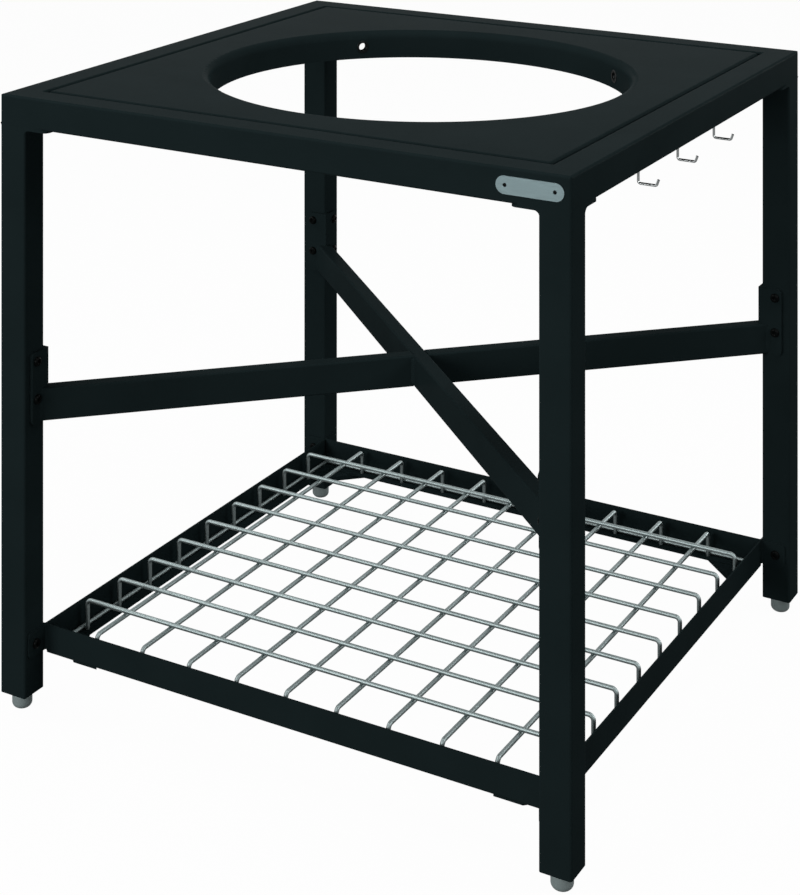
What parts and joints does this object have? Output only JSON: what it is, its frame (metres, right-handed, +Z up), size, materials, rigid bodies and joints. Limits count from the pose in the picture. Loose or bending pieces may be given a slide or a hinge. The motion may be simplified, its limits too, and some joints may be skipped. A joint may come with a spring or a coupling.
{
  "type": "kamado grill table",
  "caption": "Square steel table with a round collared opening in its drop-in top, a diagonal cross brace, a lift-out wire grid on a low shelf frame, side hooks and levelling feet.",
  "frame": {"origin": "on the floor under the middle of the table", "axes": "+Z up, +X to the right along the front with the badge, +Y to the back"},
  "size_m": [0.76, 0.7618, 0.755],
  "materials": {
    "black_steel": "semi-gloss powder coat",
    "wire_zinc": "bright",
    "hook_chrome": "bright",
    "badge_metal": "satin",
    "dark_fastener": "gloss black",
    "insert_steel": "zinc plated",
    "stud_steel": "zinc plated",
    "glide_plastic": "moulded",
    "plug_nylon": "moulded"
  },
  "bodies": {
    "table": {"top_rail_front": "black_steel", "top_rail_right": "black_steel", "top_rail_back": "black_steel", "top_rail_left": "black_steel", "panel_ledge_front": "black_steel", "panel_ledge_right": "black_steel", "panel_ledge_back": "black_steel", "panel_ledge_left": "black_steel", "leg_back_right": "black_steel", "leg_back_left": "black_steel", "leg_front_left": "black_steel", "leg_front_right": "black_steel", "head_plate_back_right": "black_steel", "head_plate_back_left": "black_steel", "head_plate_front_left": "black_steel", "head_plate_front_right": "black_steel", "brace_long_arm": "black_steel", "brace_half_arm_back_right": "black_steel", "brace_half_arm_front_left": "black_steel", "brace_bracket_back_right": "black_steel", "brace_bracket_back_left": "black_steel", "brace_bracket_front_left": "black_steel", "brace_bracket_front_right": "black_steel", "shelf_wall_front": "black_steel", "shelf_wall_right": "black_steel", "shelf_wall_back": "black_steel", "shelf_wall_left": "black_steel", "shelf_gusset_back_right": "black_steel", "shelf_gusset_back_left": "black_steel", "shelf_gusset_front_left": "black_steel", "shelf_gusset_front_right": "black_steel", "leg_plug_back_right": "plug_nylon", "leg_plug_back_left": "plug_nylon", "leg_plug_front_left": "plug_nylon", "leg_plug_front_right": "plug_nylon", "tool_hook_1": "hook_chrome", "tool_hook_2": "hook_chrome", "tool_hook_3": "hook_chrome", "badge_plate": "badge_metal", "badge_rivets": "dark_fastener", "frame_bolts": "dark_fastener", "bracket_bolts": "dark_fastener", "shelf_screws": "dark_fastener", "frame_inserts": "insert_steel", "bracket_inserts": "insert_steel", "shelf_inserts": "insert_steel", "hook_inserts": "insert_steel"},
    "panel": {"top_panel": "black_steel", "collar_inserts": "insert_steel"},
    "wire_grid": {"grid_cross_wires": "wire_zinc", "grid_long_wires": "wire_zinc", "grid_rim_wires": "wire_zinc"},
    "glide_back_right": {"foot_glide_back_right": "glide_plastic"},
    "stud_back_right": {"foot_stud_back_right": "stud_steel"},
    "glide_back_left": {"foot_glide_back_left": "glide_plastic"},
    "stud_back_left": {"foot_stud_back_left": "stud_steel"},
    "glide_front_left": {"foot_glide_front_left": "glide_plastic"},
    "stud_front_left": {"foot_stud_front_left": "stud_steel"},
    "glide_front_right": {"foot_glide_front_right": "glide_plastic"},
    "stud_front_right": {"foot_stud_front_right": "stud_steel"}
  },
  "joints": [
    {"name": "panel_lift", "type": "slide", "parent": "table", "child": "panel", "axis": [0, 0, 1], "range_m": [0, 0.12]},
    {"name": "grid_lift", "type": "slide", "parent": "table", "child": "wire_grid", "axis": [0, 0, 1], "range_m": [0, 0.22]},
    {"name": "foot_height_back_right", "type": "slide", "parent": "table", "child": "glide_back_right", "axis": [0, 0, -1], "range_m": [0, 0.02]},
    {"name": "foot_turn_back_right", "type": "hinge", "parent": "glide_back_right", "child": "stud_back_right", "pos_m": [0.361, 0.361, 0.0145], "axis": [0, 0, -1], "range_deg": [0, 4800]},
    {"name": "foot_height_back_left", "type": "slide", "parent": "table", "child": "glide_back_left", "axis": [0, 0, -1], "range_m": [0, 0.02]},
    {"name": "foot_turn_back_left", "type": "hinge", "parent": "glide_back_left", "child": "stud_back_left", "pos_m": [-0.361, 0.361, 0.0145], "axis": [0, 0, -1], "range_deg": [0, 4800]},
    {"name": "foot_height_front_left", "type": "slide", "parent": "table", "child": "glide_front_left", "axis": [0, 0, -1], "range_m": [0, 0.02]},
    {"name": "foot_turn_front_left", "type": "hinge", "parent": "glide_front_left", "child": "stud_front_left", "pos_m": [-0.361, -0.361, 0.0145], "axis": [0, 0, -1], "range_deg": [0, 4800]},
    {"name": "foot_height_front_right", "type": "slide", "parent": "table", "child": "glide_front_right", "axis": [0, 0, -1], "range_m": [0, 0.02]},
    {"name": "foot_turn_front_right", "type": "hinge", "parent": "glide_front_right", "child": "stud_front_right", "pos_m": [0.361, -0.361, 0.0145], "axis": [0, 0, -1], "range_deg": [0, 4800]}
  ],
  "couplings": [
    {"joint": "foot_turn_back_right", "follows": "foot_height_back_right", "rad_per_m": 4188.8},
    {"joint": "foot_turn_back_left", "follows": "foot_height_back_left", "rad_per_m": 4188.8},
    {"joint": "foot_turn_front_left", "follows": "foot_height_front_left", "rad_per_m": 4188.8},
    {"joint": "foot_turn_front_right", "follows": "foot_height_front_right", "rad_per_m": 4188.8}
  ]
}
